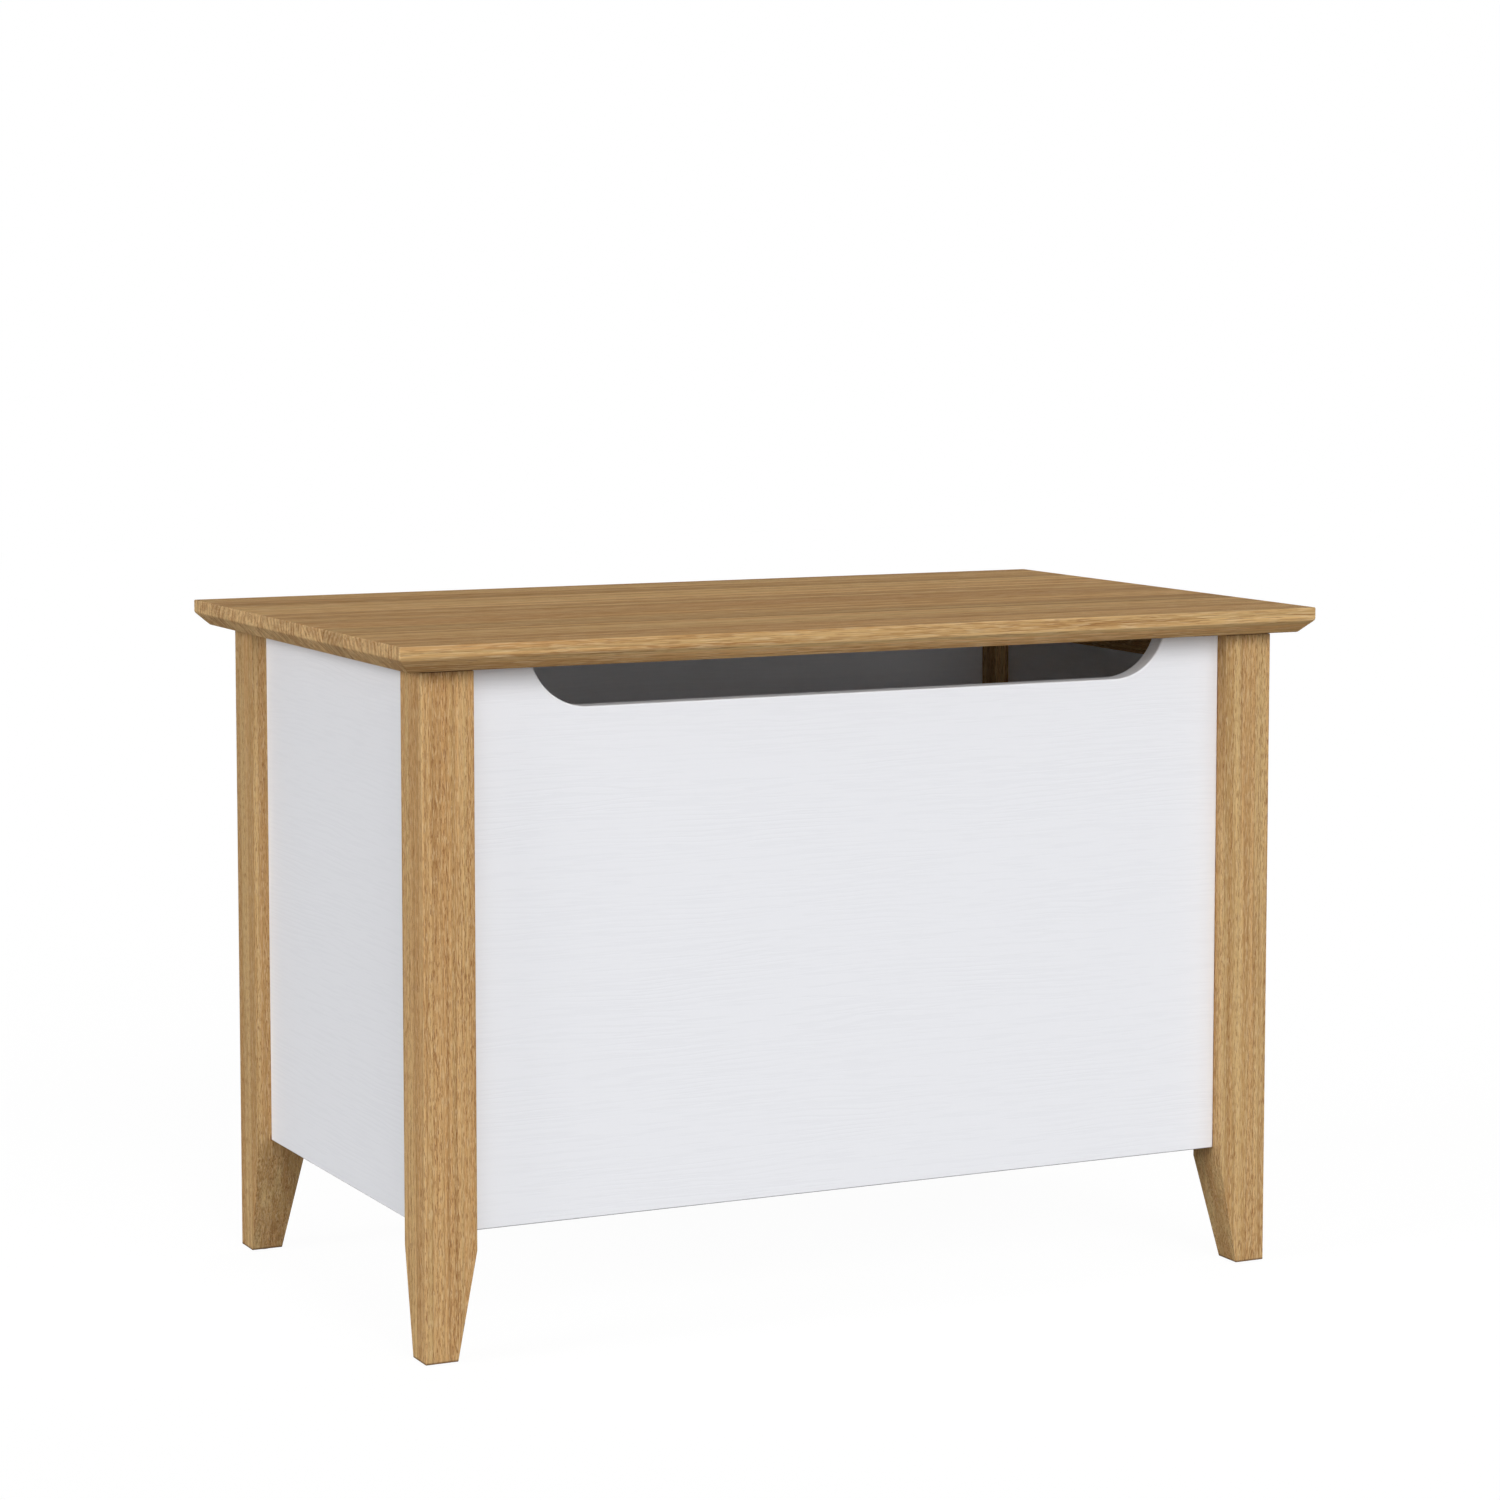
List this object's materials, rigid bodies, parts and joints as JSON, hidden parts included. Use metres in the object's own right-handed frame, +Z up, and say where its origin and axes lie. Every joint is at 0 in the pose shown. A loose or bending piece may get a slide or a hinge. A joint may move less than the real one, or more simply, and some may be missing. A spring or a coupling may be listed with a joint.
{
  "type": "toy box",
  "caption": "Free-standing wooden toy box with tapered legs, painted panels, a finger gap at the front and a rear-hinged bevelled lid held by a friction stay.",
  "frame": {"origin": "on the floor, under the centre of the box", "axes": "+X to the right along the lid's length, +Y to the rear towards the hinges, +Z up"},
  "size_m": [0.85, 0.507, 0.5815],
  "materials": {
    "oak": "satin lacquered oak",
    "white_paint": "white satin paint over embossed grain",
    "beech": "plain sanded beech",
    "zinc_steel": "bright zinc plating",
    "nickel_steel": "satin nickel plating",
    "grey_plastic": "fine matt moulding",
    "white_plastic": "satin moulding",
    "rubber": "matt rubber"
  },
  "bodies": {
    "box": {"leg_front_left": "oak", "leg_front_right": "oak", "leg_rear_left": "oak", "leg_rear_right": "oak", "front_panel": "white_paint", "back_panel": "white_paint", "left_panel": "white_paint", "right_panel": "white_paint", "base_panel": "white_paint", "left_top_rail": "oak", "right_top_rail": "oak", "rear_top_rail": "oak", "front_cleat": "beech", "rear_cleat": "beech", "left_cleat": "beech", "right_cleat": "beech", "cam_bolts": "zinc_steel", "cam_locks": "zinc_steel", "cam_covers": "white_plastic", "dowels": "beech", "hinge_left_body_leaf": "nickel_steel", "hinge_left_pin": "nickel_steel", "hinge_right_body_leaf": "nickel_steel", "hinge_right_pin": "nickel_steel", "hinge_body_screws": "zinc_steel", "rail_screws": "zinc_steel", "cleat_screws": "zinc_steel", "base_screws": "zinc_steel", "stay_housing": "grey_plastic", "stay_cover": "grey_plastic", "stay_friction_discs": "rubber", "stay_body_screws": "zinc_steel", "lid_bumpers": "rubber", "foot_glides": "grey_plastic"},
    "lid": {"lid_board": "oak", "hinge_left_lid_leaf": "nickel_steel", "hinge_right_lid_leaf": "nickel_steel", "hinge_lid_screws": "zinc_steel", "stay_lid_bracket": "zinc_steel", "stay_lid_pin": "nickel_steel", "stay_lid_screws": "zinc_steel"},
    "stay_lower": {"stay_shaft": "zinc_steel", "stay_arm": "zinc_steel", "stay_elbow_pin": "nickel_steel"},
    "stay_upper": {"stay_link": "zinc_steel"}
  },
  "joints": [
    {"name": "lid_hinge", "type": "hinge", "parent": "box", "child": "lid", "pos_m": [0, 0.2255, 0.556], "axis": [-1, 0, 0], "range_deg": [0, 85]},
    {"name": "stay_housing_pivot", "type": "hinge", "parent": "box", "child": "stay_lower", "pos_m": [-0.3485, 0.1355, 0.48], "axis": [-1, 0, 0], "range_deg": [0, 85]},
    {"name": "stay_lid_pivot", "type": "hinge", "parent": "lid", "child": "stay_upper", "pos_m": [-0.345, 0.0755, 0.5455], "axis": [-1, 0, 0], "range_deg": [-85, 0]}
  ],
  "couplings": [
    {"joint": "stay_housing_pivot", "follows": "lid_hinge", "ratio": 1},
    {"joint": "stay_lid_pivot", "follows": "lid_hinge", "ratio": -1}
  ]
}
